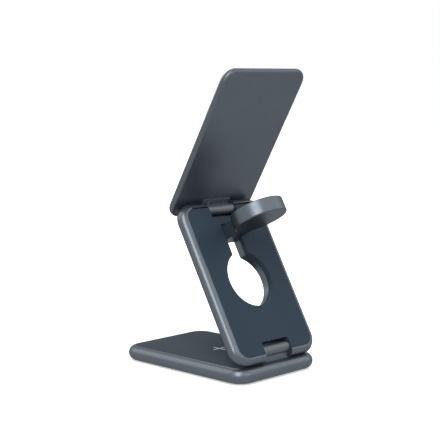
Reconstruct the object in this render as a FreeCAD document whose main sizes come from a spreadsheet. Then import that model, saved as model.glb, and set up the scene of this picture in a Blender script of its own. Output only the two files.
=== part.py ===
import FreeCAD, Part
import math
import os

import Sketcher
from FreeCAD import Placement, Rotation, Vector

# Folding wireless charger: a flat base pad, a middle panel with a keyhole and a flip-out watch disc, and a
# phone panel. Millimetres, +Z up, X along the hinges, the user on the -Y side, origin under the base's middle.

document = FreeCAD.newDocument("FoldingCharger")
sheet = document.addObject("Spreadsheet::Sheet", "Sizes")


class Size:
    # a measure with its value and the expression that works it out from the sheet

    def __init__(self, value, text):
        self.value = value
        self.text = text

    def __add__(self, other):
        other = as_size(other)
        return Size(self.value + other.value, f"({self.text} + {other.text})")

    def __sub__(self, other):
        other = as_size(other)
        return Size(self.value - other.value, f"({self.text} - {other.text})")

    def __mul__(self, other):
        other = as_size(other)
        return Size(self.value * other.value, f"({self.text} * {other.text})")

    def __truediv__(self, other):
        other = as_size(other)
        return Size(self.value / other.value, f"({self.text} / {other.text})")

    def __neg__(self):
        return Size(-self.value, f"(-1 * {self.text})")

    def __rsub__(self, other):
        return as_size(other) - self

    __radd__ = __add__
    __rmul__ = __mul__


def as_size(item):
    return item if isinstance(item, Size) else Size(float(item), f"({float(item)})")


def sine(angle):
    return Size(math.sin(math.radians(angle.value)), f"sin({angle.text} * 1 deg)")


def cosine(angle):
    return Size(math.cos(math.radians(angle.value)), f"cos({angle.text} * 1 deg)")


def diagonal(one, other):
    return Size(math.hypot(one.value, other.value), f"sqrt({one.text}^2 + {other.text}^2)")


def size(alias, value):
    # one row of the sheet: its name, its number and the alias that the model is bound to
    row = size.count = size.count + 1
    sheet.set(f"A{row}", alias)
    sheet.set(f"B{row}", str(value))
    sheet.setAlias(f"B{row}", alias)
    return Size(float(value), f"Sizes.{alias}")


size.count = 0

# Fits
gap = size("gap", 0.3)                          # between parts that move past each other
seam = size("seam", 0.2)                        # around a cover in its recess
running = size("running_gap", 0.05)             # radial play of a pin in its bore

# Panels
panel_width = size("panel_width", 62)
base_length = size("base_length", 90.5)
base_thick = size("base_thick", 7.9)
base_corner = size("base_corner", 10.1)
mid_length = size("mid_length", 90.5)
mid_thick = size("mid_thick", 7.1)
mid_corner = size("mid_corner", 9.5)
phone_width = size("phone_width", 60.5)
phone_length = size("phone_length", 88.2)
phone_thick = size("phone_thick", 3.6)
phone_corner = size("phone_corner", 7.6)
flat_band = size("flat_band", 0.1)              # left between the two round edges of a panel's rim

# Hinges
lean = size("lean", 29.7)                       # of both upper panels from the vertical, in degrees
hinge_setback = size("hinge_setback", 6.25)     # lower axis from the base's rear edge
lower_inset = size("lower_inset", 5.8)          # lower axis from the middle panel's lower end
upper_inset = size("upper_inset", 4.2)          # upper axis from the middle panel's upper end
phone_drop = size("phone_drop", 5.9)            # phone panel's lower end below the upper axis
notch_width = size("notch_width", 20)
lower_notch = size("lower_notch", 10)
upper_notch = size("upper_notch", 9.7)
upper_slit = size("upper_slit", 5.2)            # length of the upper notch that goes right through
lower_barrel = size("lower_barrel", 3.05)
upper_barrel = size("upper_barrel", 2.8)
hinge_pin = size("hinge_pin", 1.25)
post_thick = size("post_thick", 3.6)
web_thick = size("web_thick", 3.2)
leaf_thick = size("leaf_thick", 1.2)
leaf_rise = size("leaf_rise", 4.6)
leaf_drop = size("leaf_drop", 3.2)
cheek = size("cheek", 3)                        # wall beside each hinge notch
clip_length = size("clip_length", 6.4)
clip_wall = size("clip_wall", 0.8)

# Keyhole and watch disc
hole_radius = size("hole_radius", 15.05)
hole_from_end = size("hole_from_end", 45.9)     # from the middle panel's upper end
slot_width = size("slot_width", 12)
hole_lip = size("hole_lip", 1.2)
lip_depth = size("lip_depth", 3)
junction_round = size("junction_round", 1.8)
disc_junction = size("disc_junction", 0.6)
cover_ease = size("cover_ease", 0.35)           # wider circle in the near cover, where the disc swings in
disc_radius = size("disc_radius", 14.5)
disc_shift = size("disc_shift", 0.1)            # disc off the hole's centre, away from the axle
disc_thick = size("disc_thick", 7.9)
disc_reach = size("disc_reach", 26.35)          # from the arm's axle to the disc's centre
disc_edge = size("disc_edge", 0.7)
axle_depth = size("axle_depth", 0.95)           # axle behind the middle panel's own middle plane
axle_radius = size("axle_radius", 0.9)
axle_hold = size("axle_hold", 4)                # from the slot's side to the end of the axle's rib
axle_rest = size("axle_rest", 0.5)              # wall that holds the axle's end
arm_tail = size("arm_tail", 2.55)

# Shells and covers
foot_rise = size("foot_rise", 0.5)
foot_inset = size("foot_inset", 8)
foot_corner = size("foot_corner", 5)
foot_recess = size("foot_recess", 0.4)
plate_thick = size("plate_thick", 1)
cover_bevel = size("cover_bevel", 0.15)
ledge = size("ledge", 1.6)                      # width of the step that a cover lies on
base_floor = size("base_floor", 1.6)
phone_wall = size("phone_wall", 0.9)
phone_rim = size("phone_rim", 1.8)
parting = size("parting", 0.2)                  # small bevel on both sides of the phone panel's seam
pad_inset = size("pad_inset", 4)
pad_recess = size("pad_recess", 0.3)
pad_thick = size("pad_thick", 0.6)
pad_round = size("pad_round", 0.25)

# Electrical pieces
base_coil_outer = size("base_coil_outer", 16)
base_coil_inner = size("base_coil_inner", 6)
base_coil_thick = size("base_coil_thick", 0.9)
base_ferrite_radius = size("base_ferrite_radius", 18)
base_ferrite_thick = size("base_ferrite_thick", 0.6)
board_side = size("board_side", 7)              # from the board's end to the base's side
board_width = size("board_width", 34)
board_thick = size("board_thick", 0.8)
board_post = size("board_post", 0.6)
board_margin = size("board_margin", 3)
socket_width = size("socket_width", 8.94)
socket_height = size("socket_height", 3.26)
socket_wall = size("socket_wall", 0.3)
socket_length = size("socket_length", 8.4)
socket_back = size("socket_back", 0.6)
socket_sink = size("socket_sink", 0.5)          # mouth inside the base's side
tongue_width = size("tongue_width", 6.7)
tongue_thick = size("tongue_thick", 0.7)
tongue_length = size("tongue_length", 6)
watch_coil_outer = size("watch_coil_outer", 11.5)
watch_coil_inner = size("watch_coil_inner", 5)
watch_coil_thick = size("watch_coil_thick", 1.6)
watch_ferrite_radius = size("watch_ferrite_radius", 12.3)
watch_ferrite_thick = size("watch_ferrite_thick", 0.8)
watch_magnet_radius = size("watch_magnet_radius", 4.2)
watch_pocket = size("watch_pocket", 13)
watch_cap_thick = size("watch_cap_thick", 1.3)
watch_cap_dish = size("watch_cap_dish", 0.5)
magnet_side = size("magnet_side", 1.2)          # from the magnets to the phone panel's inner wall
magnet_width = size("magnet_width", 4)
magnet_thick = size("magnet_thick", 1.2)
magnet_count = size("magnet_count", 16)
magnet_fill = size("magnet_fill", 0.92)
phone_coil_margin = size("phone_coil_margin", 1.5)
phone_coil_inner = size("phone_coil_inner", 10)
phone_coil_thick = size("phone_coil_thick", 0.7)
phone_ferrite_margin = size("phone_ferrite_margin", 1)
phone_ferrite_thick = size("phone_ferrite_thick", 0.5)

# Screws
screw_shank = size("screw_shank", 0.8)
screw_head = size("screw_head", 1.6)
screw_head_thick = size("screw_head_thick", 0.5)
boss_radius = size("boss_radius", 2.2)
cover_screw_x = size("cover_screw_x", 19)
cover_screw_y = size("cover_screw_y", 32.5)

head_sink = size("head_sink", 0.1)              # of a screw head in its counterbore
pilot_gap = size("pilot_gap", 0.1)              # round a shank where it is held
screw_gap = size("screw_gap", 0.2)              # round a shank or head where it passes
pilot_depth = size("pilot_depth", 0.8)

# Hinge bracket of the base, from the lower axis
bracket_reach = size("bracket_reach", 15)
bracket_half = size("bracket_half", 13)
bracket_thick = size("bracket_thick", 1.6)
bracket_corner = size("bracket_corner", 1.5)
bracket_screw_x = size("bracket_screw_x", 9.5)
bracket_screw_first = size("bracket_screw_first", 3)
bracket_screw_pitch = size("bracket_screw_pitch", 6)
seat_margin = size("seat_margin", 2)

# Places of the boards, the socket and their small pieces
socket_y = size("socket_place", 5)
board_y = size("board_place", -3)
board_corner = size("board_corner", 2)
chip_side = size("chip_side", 8)
small_chip = size("small_chip", 6)
small_chip_place = size("small_chip_place", 10)
chip_thick = size("chip_thick", 1)
capacitor_width = size("capacitor_width", 1.6)
capacitor_length = size("capacitor_length", 3)
capacitor_pitch = size("capacitor_pitch", 3)
capacitor_place = size("capacitor_place", 9)
capacitor_count = size("capacitor_count", 4)
phone_board_place = size("phone_board_place", 4)    # from the bracket screw's middle
phone_board_side = size("phone_board_side", 1.7)
phone_board_width = size("phone_board_width", 10)
phone_board_low = size("phone_board_low", 4.2)  # from the phone panel's lower end
phone_board_thick = size("phone_board_thick", 0.6)
phone_chip = size("phone_chip", 4)
phone_chip_margin = size("phone_chip_margin", 2)
phone_chip_thick = size("phone_chip_thick", 0.7)
phone_screw_x = size("phone_screw_x", 6)
phone_screw_y = size("phone_screw_y", 2.9)

# Inner walls of the middle panel
wall_root = size("wall_root", 0.5)              # that a rib runs into the rim
notch_wall = size("notch_wall", 1.5)
pin_rest = size("pin_rest", 2)                  # wall that holds the end of a hinge pin
axle_wall = size("axle_wall", 1.6)
cable_width = size("cable_width", 5)
cable_thick = size("cable_thick", 0.2)
cable_end = size("cable_end", 8)                # before each hinge axis
overcut = size("overcut", 1)                    # that a cut's outline runs past an edge

# Heights in the base
base_top = foot_rise + base_thick
base_edge = base_thick / 2 - flat_band / 2
base_inset = base_thick / 2
cover_underside = base_top - plate_thick
floor_top = foot_rise + base_floor
half_width = panel_width / 2
half_base = base_length / 2
board_length = panel_width - 2 * board_side

# Middle panel, measured from the lower axis along the panel
mid_half = mid_thick / 2
mid_edge = mid_half - flat_band / 2
mid_low = -lower_inset
mid_high = mid_length - lower_inset
mid_floor = mid_half - plate_thick
hinge_span = mid_length - lower_inset - upper_inset
hole_place = mid_high - hole_from_end
axle_place = hole_place + disc_reach - disc_shift
half_notch = notch_width / 2
half_slot = slot_width / 2

# Watch disc and arm, measured from the axle
disc_low = axle_depth - disc_thick / 2
disc_high = axle_depth + disc_thick / 2
half_arm = half_slot - gap
slot_end = axle_place + diagonal(disc_high, arm_tail) + gap

# Phone panel, measured from the upper axis
phone_back = upper_inset + gap                  # the middle panel's end swings inside this distance
phone_low = -phone_drop
phone_high = phone_length - phone_drop
phone_front = phone_back + phone_thick
phone_seam = phone_back + phone_thick / 2
phone_middle = (phone_low + phone_high) / 2
half_phone = phone_width / 2
half_knuckle = half_notch - gap
phone_cavity = half_phone - phone_rim
magnet_outer = phone_cavity - magnet_side
magnet_inner = magnet_outer - magnet_width
phone_ferrite_radius = magnet_inner - phone_ferrite_margin
phone_coil_outer = phone_ferrite_radius - phone_coil_margin

# Places of the three hinge axes
lower_y = half_base - hinge_setback
lower_z = base_top + gap + mid_half + (lower_inset - mid_half) * cosine(lean)
upper_y = lower_y - hinge_span * sine(lean)
upper_z = lower_z + hinge_span * cosine(lean)
axle_y = lower_y - axle_place * sine(lean) - axle_depth * cosine(lean)
axle_z = lower_z + axle_place * cosine(lean) - axle_depth * sine(lean)

base_frame_of_reference = (as_size(0), as_size(0), as_size(0))
mid_frame_of_reference = (lower_y, lower_z, 90 + lean)
phone_frame_of_reference = (upper_y, upper_z, 90 - lean)
watch_frame_of_reference = (axle_y, axle_z, as_size(0) + lean)

sub_parts = []


def place(part, reference):
    y, z, turn = reference
    part.Placement = Placement(Vector(0, y.value, z.value), Rotation(Vector(1, 0, 0), turn.value))
    part.setExpression("Placement.Base.y", y.text)
    part.setExpression("Placement.Base.z", z.text)
    part.setExpression("Placement.Rotation.Angle", turn.text)


def start_body(label, reference):
    body = document.addObject("PartDesign::Body", label)
    body.Label = label
    place(body, reference)
    sub_parts.append(body)
    return body


def start_sketch(body, height, plane="XY_Plane"):
    sketch = body.newObject("Sketcher::SketchObject", body.Label + "_sketch")
    origin_plane = next(feature for feature in body.Origin.OriginFeatures if feature.Role == plane)
    sketch.AttachmentSupport = [(origin_plane, "")]
    sketch.MapMode = "FlatFace"
    height = as_size(height)
    sketch.AttachmentOffset = Placement(Vector(0, 0, height.value), Rotation())
    sketch.setExpression("AttachmentOffset.Base.z", height.text)
    return sketch


def fix_distance(sketch, kind, geometry, point, distance):
    # holds one point at a signed distance from the sketch's origin
    if distance.value >= 0:
        index = sketch.addConstraint(Sketcher.Constraint(kind, -1, 1, geometry, point, distance.value))
        sketch.setExpression(f"Constraints[{index}]", distance.text)
    else:
        index = sketch.addConstraint(Sketcher.Constraint(kind, geometry, point, -1, 1, -distance.value))
        sketch.setExpression(f"Constraints[{index}]", (-distance).text)


def draw_circle(sketch, x, y, radius):
    x, y, radius = as_size(x), as_size(y), as_size(radius)
    circle = sketch.addGeometry(Part.Circle(Vector(x.value, y.value, 0), Vector(0, 0, 1), radius.value), False)
    index = sketch.addConstraint(Sketcher.Constraint("Radius", circle, radius.value))
    sketch.setExpression(f"Constraints[{index}]", radius.text)
    for kind, place_of_centre, axis in (("DistanceX", x, -2), ("DistanceY", y, -1)):
        if place_of_centre.value == 0:
            sketch.addConstraint(Sketcher.Constraint("PointOnObject", circle, 3, axis))
        else:
            fix_distance(sketch, kind, circle, 3, place_of_centre)


def draw_rectangle(sketch, left, right, bottom, top, corner=None):
    # four lines, joined by arcs where a corner radius is given
    left, right, bottom, top = as_size(left), as_size(right), as_size(bottom), as_size(top)
    radius = corner.value if corner else 0
    low, high, near, far = left.value, right.value, bottom.value, top.value
    ends = [((low + radius, near), (high - radius, near)), ((high, near + radius), (high, far - radius)),
            ((high - radius, far), (low + radius, far)), ((low, far - radius), (low, near + radius))]
    centres = [(high - radius, near + radius), (high - radius, far - radius),
               (low + radius, far - radius), (low + radius, near + radius)]
    lines, arcs = [], []
    for turn in range(4):
        start, end = ends[turn]
        lines.append(sketch.addGeometry(Part.LineSegment(Vector(*start, 0), Vector(*end, 0)), False))
        if corner:
            circle = Part.Circle(Vector(*centres[turn], 0), Vector(0, 0, 1), radius)
            angle = math.radians(90 * (turn - 1))
            arcs.append(sketch.addGeometry(Part.ArcOfCircle(circle, angle, angle + math.pi / 2), False))
    for turn in range(4):
        following = lines[(turn + 1) % 4]
        if corner:
            sketch.addConstraint(Sketcher.Constraint("Tangent", lines[turn], 2, arcs[turn], 1))
            sketch.addConstraint(Sketcher.Constraint("Tangent", arcs[turn], 2, following, 1))
        else:
            sketch.addConstraint(Sketcher.Constraint("Coincident", lines[turn], 2, following, 1))
        sketch.addConstraint(Sketcher.Constraint(("Horizontal", "Vertical")[turn % 2], lines[turn]))
    if corner:
        for arc in arcs[1:]:
            sketch.addConstraint(Sketcher.Constraint("Equal", arcs[0], arc))
        index = sketch.addConstraint(Sketcher.Constraint("Radius", arcs[0], radius))
        sketch.setExpression(f"Constraints[{index}]", corner.text)
    fix_distance(sketch, "DistanceY", lines[0], 1, bottom)
    fix_distance(sketch, "DistanceX", lines[1], 1, right)
    fix_distance(sketch, "DistanceY", lines[2], 1, top)
    fix_distance(sketch, "DistanceX", lines[3], 1, left)


def pad(body, sketch, length, symmetric=False, reverse=False):
    feature = body.newObject("PartDesign::Pad", body.Label + "_pad")
    feature.Profile = sketch
    if symmetric:
        feature.SideType = "Symmetric"
    feature.Reversed = reverse
    feature.setExpression("Length", as_size(length).text)
    return feature


def pocket(body, sketch, depth=None, symmetric=False, reverse=False):
    # cuts against the sketch's normal, or along it when reversed; right through both ways without a depth
    feature = body.newObject("PartDesign::Pocket", body.Label + "_pocket")
    feature.Profile = sketch
    feature.Reversed = reverse
    if depth is None:
        feature.SideType = "Symmetric" if symmetric else "One side"
        feature.Type = "ThroughAll"
    else:
        if symmetric:
            feature.SideType = "Symmetric"
        feature.setExpression("Length", as_size(depth).text)
    return feature


def edges_where(feature, test):
    document.recompute()
    return [f"Edge{number}" for number, edge in enumerate(feature.Shape.Edges, 1) if test(edge)]


def flat_at(height):
    # edges that lie in the plane at this height of the body's own frame
    def test(edge):
        box = edge.BoundBox
        return abs(box.ZMin - height.value) < 1e-4 and abs(box.ZMax - height.value) < 1e-4
    return test


def round_edges(body, feature, radius, test, bevel=False):
    kind = "PartDesign::Chamfer" if bevel else "PartDesign::Fillet"
    rounding = body.newObject(kind, body.Label + "_edge")
    rounding.Base = (feature, edges_where(feature, test))
    rounding.setExpression("Size" if bevel else "Radius", as_size(radius).text)
    return rounding


def round_panel(body, left, right, bottom, top, corner, low, thick, edge):
    # a panel with the full round rim, from its outline
    outline = start_sketch(body, low)
    draw_rectangle(outline, left, right, bottom, top, corner)
    slab = pad(body, outline, thick)
    high = low + thick
    round_edges(body, slab, edge, lambda item: flat_at(low)(item) or flat_at(high)(item))


def disc(label, reference, radius, low, thick, inner=None, y=0):
    body = start_body(label, reference)
    outline = start_sketch(body, low)
    draw_circle(outline, 0, y, radius)
    if inner:
        draw_circle(outline, 0, y, inner)
    pad(body, outline, thick)
    return body


def own_shape(label, shape, reference):
    # a piece or a group of like pieces made as one shape
    part = document.addObject("Part::Feature", label)
    part.Label = label
    part.Shape = shape
    place(part, reference)
    sub_parts.append(part)
    return part


def screw(x, y, head_face, shank_end):
    # the head's bearing face and the shank's end give the direction
    way = 1 if shank_end > head_face else -1
    point, axis = Vector(x, y, head_face), Vector(0, 0, way)
    head = Part.makeCylinder(screw_head.value, screw_head_thick.value, point, -axis)
    shank = Part.makeCylinder(screw_shank.value, abs(shank_end - head_face), point, axis)
    return head.fuse(shank).removeSplitter()


def corners(x, y, middle=0):
    return [(side * x, middle + end * y) for side in (-1, 1) for end in (-1, 1)]


# Base frame: a tray with a full round rim, a step for its cover and a seat for the hinge bracket
cavity_inset = base_inset + ledge
bracket_front = lower_y - bracket_reach
bracket_rear = half_base - base_inset - seam
bracket_low = cover_underside - seam - bracket_thick
socket_z = foot_rise + base_thick / 2
board_low = floor_top + board_post
board_screw_x = board_length / 2 - board_margin
board_screw_y = board_width / 2 - board_margin
counterbore = screw_head_thick + head_sink
bracket_screws = [(side * bracket_screw_x, bracket_front + bracket_screw_first + step * bracket_screw_pitch)
                  for side in (-1, 1) for step in (0, 1)]


def inset_rectangle(sketch, inset, half_x=half_width, low=-half_base, high=half_base, corner=base_corner):
    draw_rectangle(sketch, inset - half_x, half_x - inset, low + inset, high - inset, corner - inset)


def draw_foot(sketch, inset):
    half_foot, foot_end = half_width - inset, half_base - inset
    draw_rectangle(sketch, -half_foot, half_foot, -foot_end, foot_end, foot_corner)


def make_base_frame():
    body = start_body("base_frame", base_frame_of_reference)
    outline = (-half_width, half_width, -half_base, half_base, base_corner)
    round_panel(body, *outline, foot_rise, base_thick, base_edge)
    recess = start_sketch(body, base_top)
    inset_rectangle(recess, base_inset)
    pocket(body, recess, plate_thick)
    cavity = start_sketch(body, base_top)
    inset_rectangle(cavity, cavity_inset)
    pocket(body, cavity, base_thick - base_floor)
    seat = start_sketch(body, floor_top)
    seat_half = bracket_half + seat_margin
    draw_rectangle(seat, -seat_half, seat_half, bracket_front - seat_margin, half_base - cavity_inset + overcut)
    pad(body, seat, bracket_low - floor_top)
    posts = start_sketch(body, floor_top)
    for x, y in corners(board_screw_x, board_screw_y, board_y):
        draw_circle(posts, x, y, boss_radius)
    pad(body, posts, board_post)
    bed = start_sketch(body, cover_underside)
    draw_rectangle(bed, -bracket_half - gap, bracket_half + gap, bracket_front - gap, half_base - base_inset)
    pocket(body, bed, cover_underside - bracket_low)
    feet = start_sketch(body, foot_rise)
    draw_foot(feet, foot_inset)
    pocket(body, feet, foot_recess, reverse=True)
    cover_screws = start_sketch(body, foot_rise)
    heads = start_sketch(body, foot_rise)
    for x, y in corners(cover_screw_x, cover_screw_y):
        draw_circle(cover_screws, x, y, screw_shank + screw_gap)
        draw_circle(heads, x, y, screw_head + screw_gap)
    pocket(body, cover_screws, base_floor, reverse=True)
    pocket(body, heads, foot_recess + counterbore, reverse=True)
    pilots = start_sketch(body, bracket_low)
    for x, y in bracket_screws:
        draw_circle(pilots, x, y, screw_shank + pilot_gap)
    pocket(body, pilots, bracket_low - floor_top)
    board_pilots = start_sketch(body, board_low)
    for x, y in corners(board_screw_x, board_screw_y, board_y):
        draw_circle(board_pilots, x, y, screw_shank + pilot_gap)
    pocket(body, board_pilots, board_post + pilot_depth)
    mouth = start_sketch(body, -half_width, "YZ_Plane")
    half_mouth, half_rise = socket_width / 2 + seam, socket_height / 2 + seam
    draw_rectangle(mouth, socket_y - half_mouth, socket_y + half_mouth, socket_z - half_rise,
                   socket_z + half_rise, half_rise - flat_band)
    pocket(body, mouth, cavity_inset + overcut, reverse=True)


def make_base_cover():
    body = start_body("base_top_plate", base_frame_of_reference)
    plate = start_sketch(body, cover_underside)
    inset_rectangle(plate, base_inset + seam)
    pad(body, plate, plate_thick)
    notch = start_sketch(body, base_top)
    draw_rectangle(notch, -half_notch, half_notch, lower_y - post_thick / 2 - gap, half_base)
    pocket(body, notch, plate_thick)
    bosses = start_sketch(body, floor_top)
    for x, y in corners(cover_screw_x, cover_screw_y):
        draw_circle(bosses, x, y, boss_radius)
        draw_circle(bosses, x, y, screw_shank + pilot_gap)
    pad(body, bosses, cover_underside - floor_top)


def make_base_inside():
    foot = start_body("base_foot_pad", base_frame_of_reference)
    outline = start_sketch(foot, 0)
    draw_foot(outline, foot_inset + seam)
    pad(foot, outline, foot_rise + foot_recess)

    coil_low = cover_underside - base_coil_thick
    disc("base_coil", base_frame_of_reference, base_coil_outer, coil_low, base_coil_thick, base_coil_inner)
    ferrite_low = coil_low - base_ferrite_thick
    disc("base_ferrite", base_frame_of_reference, base_ferrite_radius, ferrite_low, base_ferrite_thick)

    board = start_body("base_circuit_board", base_frame_of_reference)
    outline = start_sketch(board, board_low)
    half_length, half_board = board_length / 2, board_width / 2
    draw_rectangle(outline, -half_length, half_length, board_y - half_board, board_y + half_board,
                   board_corner)
    for x, y in corners(board_screw_x, board_screw_y, board_y):
        draw_circle(outline, x, y, screw_shank + screw_gap)
    pad(board, outline, board_thick)
    cut = start_sketch(board, board_low + board_thick)
    draw_rectangle(cut, -half_length - overcut, socket_rear + gap, socket_y - socket_width / 2 - gap,
                   socket_y + socket_width / 2 + gap)
    pocket(board, cut, board_thick)
    chips = start_sketch(board, board_low + board_thick)
    half_chip = chip_side / 2
    draw_rectangle(chips, -half_chip, half_chip, board_y - half_chip, board_y + half_chip)
    draw_rectangle(chips, small_chip_place, small_chip_place + small_chip, board_y + capacitor_length,
                   board_y + capacitor_length + small_chip)
    for step in range(int(capacitor_count.value)):
        left = capacitor_place + step * capacitor_pitch
        draw_rectangle(chips, left, left + capacitor_width, board_y - capacitor_place,
                       board_y - capacitor_place + capacitor_length)
    pad(board, chips, chip_thick)


socket_front = socket_sink - half_width
socket_rear = socket_front + socket_length


def make_socket():
    half_high, half_wide = socket_height / 2, socket_width / 2
    shell = start_body("usb_socket_shell", base_frame_of_reference)
    outline = start_sketch(shell, socket_front, "YZ_Plane")
    draw_rectangle(outline, socket_y - half_wide, socket_y + half_wide, socket_z - half_high,
                   socket_z + half_high, half_high - flat_band)
    pad(shell, outline, socket_length)
    bore = start_sketch(shell, socket_front, "YZ_Plane")
    inner_wide, inner_high = half_wide - socket_wall, half_high - socket_wall
    draw_rectangle(bore, socket_y - inner_wide, socket_y + inner_wide, socket_z - inner_high,
                   socket_z + inner_high, inner_high - flat_band)
    pocket(shell, bore, socket_length - socket_back, reverse=True)
    tongue = start_body("usb_socket_tongue", base_frame_of_reference)
    outline = start_sketch(tongue, socket_rear - socket_back, "YZ_Plane")
    draw_rectangle(outline, socket_y - tongue_width / 2, socket_y + tongue_width / 2,
                   socket_z - tongue_thick / 2, socket_z + tongue_thick / 2)
    pad(tongue, outline, tongue_length, reverse=True)


def make_base_bracket():
    # barrel, post and foot in one piece, the foot under the base's cover
    body = start_body("base_hinge_bracket", base_frame_of_reference)
    barrel = start_sketch(body, 0, "YZ_Plane")
    draw_circle(barrel, lower_y, lower_z, lower_barrel)
    pad(body, barrel, half_knuckle * 2, symmetric=True)
    post = start_sketch(body, 0, "YZ_Plane")
    draw_rectangle(post, lower_y - post_thick / 2, lower_y + post_thick / 2, bracket_low, lower_z)
    pad(body, post, half_knuckle * 2, symmetric=True)
    foot = start_sketch(body, bracket_low)
    draw_rectangle(foot, -bracket_half, bracket_half, bracket_front, bracket_rear, bracket_corner)
    pad(body, foot, bracket_thick)
    bore = start_sketch(body, 0, "YZ_Plane")
    draw_circle(bore, lower_y, lower_z, hinge_pin + running)
    pocket(body, bore, notch_width, symmetric=True)
    holes = start_sketch(body, bracket_low + bracket_thick)
    heads = start_sketch(body, bracket_low + bracket_thick)
    for x, y in bracket_screws:
        draw_circle(holes, x, y, screw_shank + screw_gap)
        draw_circle(heads, x, y, screw_head + screw_gap)
    pocket(body, holes, bracket_thick)
    pocket(body, heads, counterbore)


# Middle frame: a tray open to the near side, with cheeks for the hinge pins and a collar round the keyhole
near_face = -mid_half
cover_seat = near_face + plate_thick
collar_top = near_face + lip_depth
clip_radius = hinge_pin + running + clip_wall
clip_opening = hinge_pin - running
clip_room = half_notch + cheek + clip_length + 2 * gap
pin_end = clip_room + pin_rest - gap
axle_end = half_slot + axle_hold - axle_rest


pins = (("lower_hinge_pin", as_size(0), as_size(0), hinge_pin, pin_end),
        ("upper_hinge_pin", hinge_span, as_size(0), hinge_pin, pin_end),
        ("watch_axle", axle_place, axle_depth, axle_radius, axle_end))


def in_order(one, other):
    return (one, other) if one.value < other.value else (other, one)


def draw_keyhole(sketch, grow):
    # the slot's lower end lies inside the circle
    draw_circle(sketch, 0, hole_place, hole_radius + grow)


def draw_slot(sketch, grow):
    draw_rectangle(sketch, -half_slot - grow, half_slot + grow, hole_place, slot_end + grow)


def cut_keyhole(body, ease):
    circle = start_sketch(body, near_face)
    draw_keyhole(circle, ease)
    pocket(body, circle, mid_thick, reverse=True)
    slot = start_sketch(body, near_face)
    draw_slot(slot, 0)
    cut = pocket(body, slot, mid_thick, reverse=True)
    round_edges(body, cut, junction_round, at_upright(half_slot, hole_place, hole_radius + ease))


def at_upright(half_wide, centre, radius, way=1):
    # the two upright edges where a straight side of this half width meets the circle
    meet = centre.value + way * math.sqrt(radius.value ** 2 - half_wide.value ** 2)

    def test(edge):
        box = edge.BoundBox
        upright = box.ZLength > 0.3 and box.XLength < 1e-3 and box.YLength < 1e-3
        return upright and abs(abs(box.XMin) - half_wide.value) < 1e-3 and abs(box.YMin - meet) < 1e-2
    return test


def make_mid_frame():
    body = start_body("mid_frame", mid_frame_of_reference)
    round_panel(body, -half_width, half_width, mid_low, mid_high, mid_corner, near_face, mid_thick, mid_edge)
    recess = start_sketch(body, near_face)
    inset_rectangle(recess, mid_half, half_width, mid_low, mid_high, mid_corner)
    pocket(body, recess, plate_thick, reverse=True)
    cavity = start_sketch(body, near_face)
    inset_rectangle(cavity, mid_half + ledge, half_width, mid_low, mid_high, mid_corner)
    pocket(body, cavity, mid_thick - plate_thick, reverse=True)
    wall_end = mid_half + ledge - wall_root
    cheeks = start_sketch(body, cover_seat)
    cheek_side = half_notch + cheek
    lower_wall, upper_wall = mid_low + lower_notch + notch_wall, mid_high - upper_notch - notch_wall
    draw_rectangle(cheeks, -cheek_side, cheek_side, mid_low + wall_end, lower_wall)
    draw_rectangle(cheeks, -cheek_side, cheek_side, upper_wall, mid_high - wall_end)
    for side in (-1, 1):
        near, far = in_order(side * clip_room, side * (clip_room + pin_rest))
        draw_rectangle(cheeks, near, far, mid_low + wall_end, lower_wall)
        draw_rectangle(cheeks, near, far, upper_wall, mid_high - wall_end)
    pad(body, cheeks, mid_floor - cover_seat)
    rooms = start_sketch(body, cover_seat)
    for side in (-1, 1):
        near, far = in_order(side * cheek_side, side * clip_room)
        draw_rectangle(rooms, near, far, -clip_opening - seam, clip_radius + gap)
        draw_rectangle(rooms, near, far, hinge_span - clip_radius - gap, hinge_span + clip_opening + seam)
    pocket(body, rooms, mid_floor - cover_seat, reverse=True)
    collar = start_sketch(body, collar_top)
    draw_keyhole(collar, hole_lip)
    pad(body, collar, mid_floor - collar_top)
    slot_collar = start_sketch(body, collar_top)
    draw_slot(slot_collar, hole_lip)
    pad(body, slot_collar, mid_floor - collar_top)
    hold_low, hold_half = axle_depth - axle_radius - axle_wall / 2, axle_radius + axle_wall
    holds = start_sketch(body, hold_low)
    for side in (-1, 1):
        near, far = in_order(side * (half_slot + hole_lip), side * (half_slot + axle_hold))
        draw_rectangle(holds, near, far, axle_place - hold_half, axle_place + hold_half)
    pad(body, holds, mid_floor - hold_low)
    cut_keyhole(body, as_size(0))
    notches = start_sketch(body, near_face)
    draw_rectangle(notches, -half_notch, half_notch, mid_low - overcut, mid_low + lower_notch)
    draw_rectangle(notches, -half_notch, half_notch, mid_high - upper_notch, mid_high + overcut)
    pocket(body, notches, mid_thick - plate_thick, reverse=True)
    slits = start_sketch(body, near_face)
    draw_rectangle(slits, -half_notch, half_notch, mid_low - overcut, post_thick / 2 + gap)
    draw_rectangle(slits, -half_notch, half_notch, mid_high - upper_slit, mid_high + overcut)
    pocket(body, slits, mid_thick, reverse=True)
    for along, radius in ((0, lower_barrel), (hinge_span, upper_barrel)):
        room = start_sketch(body, 0, "YZ_Plane")
        draw_circle(room, along, 0, radius + gap)
        pocket(body, room, notch_width, symmetric=True)
    # the pins drop in from the near side, under the cover
    for label, along, depth, radius, reach in pins:
        channel = start_sketch(body, near_face)
        width = radius + running
        draw_rectangle(channel, -reach - gap, reach + gap, along - width, along + width)
        pocket(body, channel, mid_half + depth, reverse=True)
        bed = start_sketch(body, 0, "YZ_Plane")
        draw_circle(bed, along, depth, width)
        pocket(body, bed, (reach + gap) * 2, symmetric=True)


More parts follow.
